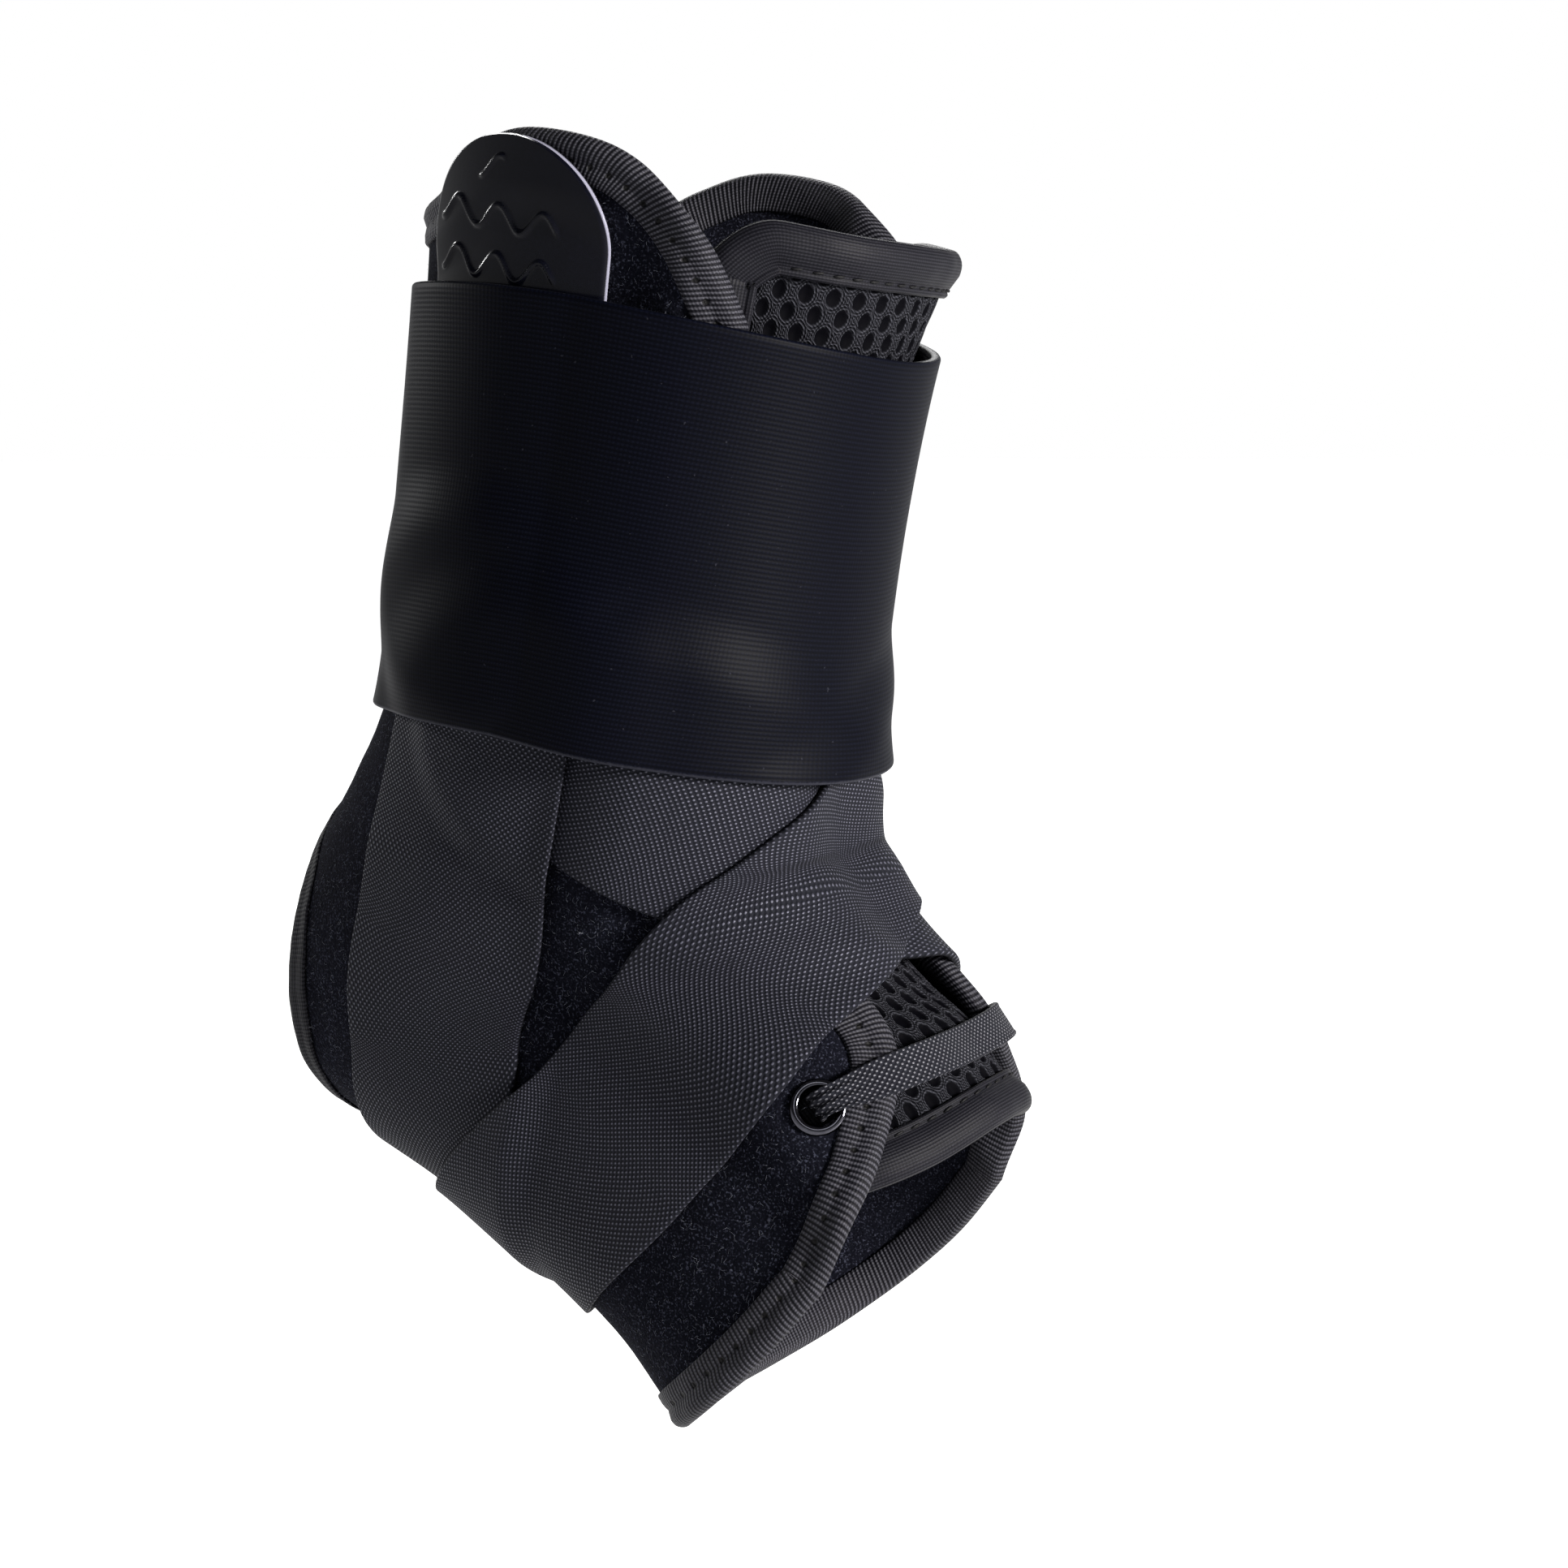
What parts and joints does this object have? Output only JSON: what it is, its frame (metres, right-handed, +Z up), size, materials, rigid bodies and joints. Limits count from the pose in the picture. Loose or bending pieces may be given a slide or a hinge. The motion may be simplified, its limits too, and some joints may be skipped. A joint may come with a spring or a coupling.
{
  "type": "ankle brace",
  "caption": "lace-up style ankle brace in its worn form: plush shell open at the heel and toes, ribbed side stays, mesh tongue, crossed webbing straps and a wide elastic cuff",
  "frame": {"origin": "the middle of the ankle that the brace is worn on, between the ankle bones", "axes": "+Z up along the leg, +X forwards to the toes, +Y to the inner side; -Y is the outer side that faces the viewer"},
  "size_m": [0.1497, 0.102, 0.2441],
  "materials": {
    "shell": "plush",
    "tape": "knitted binding",
    "tongue": "spacer mesh",
    "webbing": "woven",
    "elastic": "ribbed elastic",
    "stay": "satin gloss",
    "eyelet": "black chrome"
  },
  "bodies": {
    "root": {"body_shell": "shell", "body_edge_tape": "tape", "heel_edge_tape": "tape", "tongue_pad": "tongue", "tongue_edge_tape": "tape", "side_stay_outer": "stay", "side_stay_inner": "stay", "strap_first": "webbing", "strap_second": "webbing", "cuff_strap": "elastic", "eyelet_outer": "eyelet", "eyelet_inner": "eyelet", "front_lace": "webbing"}
  },
  "joints": []
}
